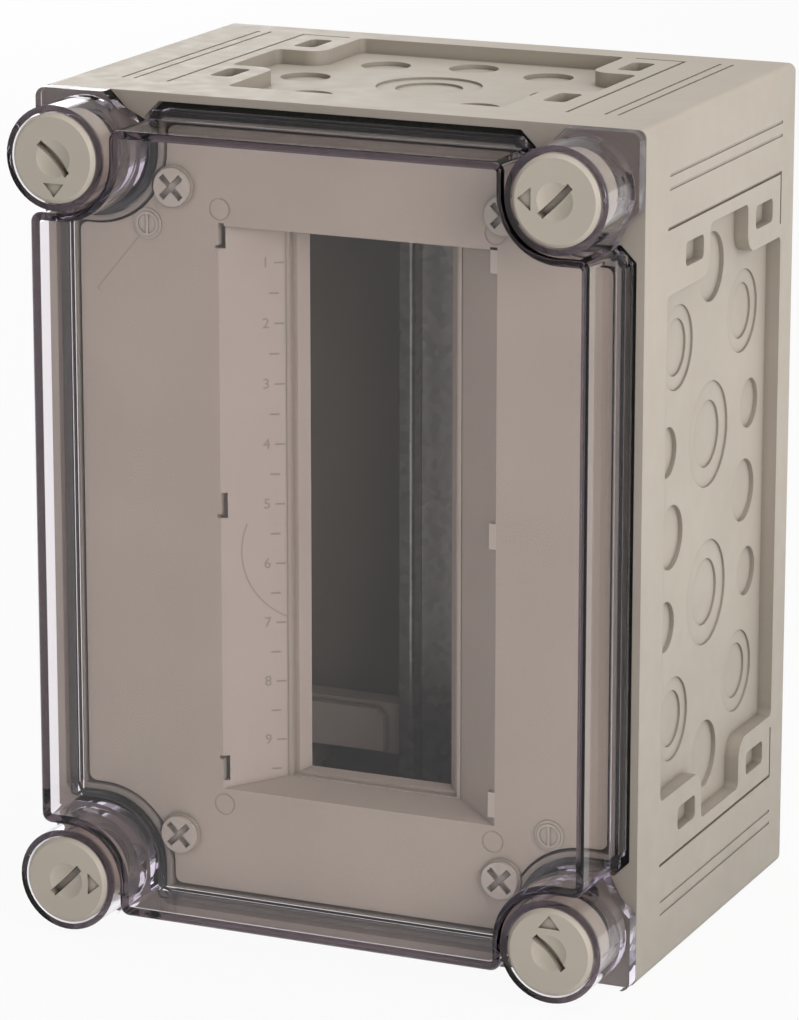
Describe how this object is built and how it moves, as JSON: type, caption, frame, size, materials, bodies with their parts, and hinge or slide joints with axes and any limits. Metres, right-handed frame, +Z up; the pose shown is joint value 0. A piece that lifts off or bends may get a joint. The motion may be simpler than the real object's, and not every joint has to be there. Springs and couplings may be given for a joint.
{
  "type": "circuit breaker enclosure",
  "caption": "Wall-mounted insulated enclosure for modular circuit breakers, with a clear lift-off lid, quarter-turn corner locks and a windowed cover plate.",
  "frame": {"origin": "centre of the outer box on its underside, halfway between the lock caps and the back wall", "axes": "+Z up, the lid faces -Y, the back wall faces +Y, +X to the right as seen from the front"},
  "size_m": [0.1876, 0.15, 0.25],
  "materials": {
    "housing_plastic": "moulded satin",
    "plate_plastic": "moulded satin",
    "fitting_plastic": "moulded satin",
    "lock_plastic": "moulded satin",
    "clear_plastic": "clear, polished",
    "gasket_rubber": "soft foam",
    "zinc_steel": "galvanised"
  },
  "bodies": {
    "housing": {"housing": "housing_plastic", "lid_gasket": "gasket_rubber", "cover_plate": "plate_plastic", "din_rail": "zinc_steel", "crossbar_top": "fitting_plastic", "crossbar_bottom": "fitting_plastic", "rail_screw_top": "zinc_steel", "rail_screw_bottom": "zinc_steel", "sealing_stud_top_left": "fitting_plastic", "sealing_stud_bottom_right": "fitting_plastic", "plate_screw_top_left": "fitting_plastic", "plate_screw_top_right": "fitting_plastic", "plate_screw_bottom_left": "fitting_plastic", "plate_screw_bottom_right": "fitting_plastic", "crossbar_screw_top_left": "zinc_steel", "crossbar_screw_top_right": "zinc_steel", "crossbar_screw_bottom_left": "zinc_steel", "crossbar_screw_bottom_right": "zinc_steel"},
    "lid": {"lid": "clear_plastic"},
    "lock_top_left": {"lock_bolt_top_left": "lock_plastic", "lock_seal_top_left": "gasket_rubber"},
    "lock_top_right": {"lock_bolt_top_right": "lock_plastic", "lock_seal_top_right": "gasket_rubber"},
    "lock_bottom_left": {"lock_bolt_bottom_left": "lock_plastic", "lock_seal_bottom_left": "gasket_rubber"},
    "lock_bottom_right": {"lock_bolt_bottom_right": "lock_plastic", "lock_seal_bottom_right": "gasket_rubber"}
  },
  "joints": [
    {"name": "lid_lift", "type": "slide", "parent": "housing", "child": "lid", "axis": [0, -1, 0], "range_m": [0, 0.09]},
    {"name": "lock_top_left_turn", "type": "hinge", "parent": "lid", "child": "lock_top_left", "pos_m": [-0.07725, -0.06, 0.2335], "axis": [0, 1, 0], "range_deg": [0, 90]},
    {"name": "lock_top_right_turn", "type": "hinge", "parent": "lid", "child": "lock_top_right", "pos_m": [0.07725, -0.06, 0.2335], "axis": [0, 1, 0], "range_deg": [0, 90]},
    {"name": "lock_bottom_left_turn", "type": "hinge", "parent": "lid", "child": "lock_bottom_left", "pos_m": [-0.07725, -0.06, 0.0165], "axis": [0, 1, 0], "range_deg": [0, 90]},
    {"name": "lock_bottom_right_turn", "type": "hinge", "parent": "lid", "child": "lock_bottom_right", "pos_m": [0.07725, -0.06, 0.0165], "axis": [0, 1, 0], "range_deg": [0, 90]}
  ]
}
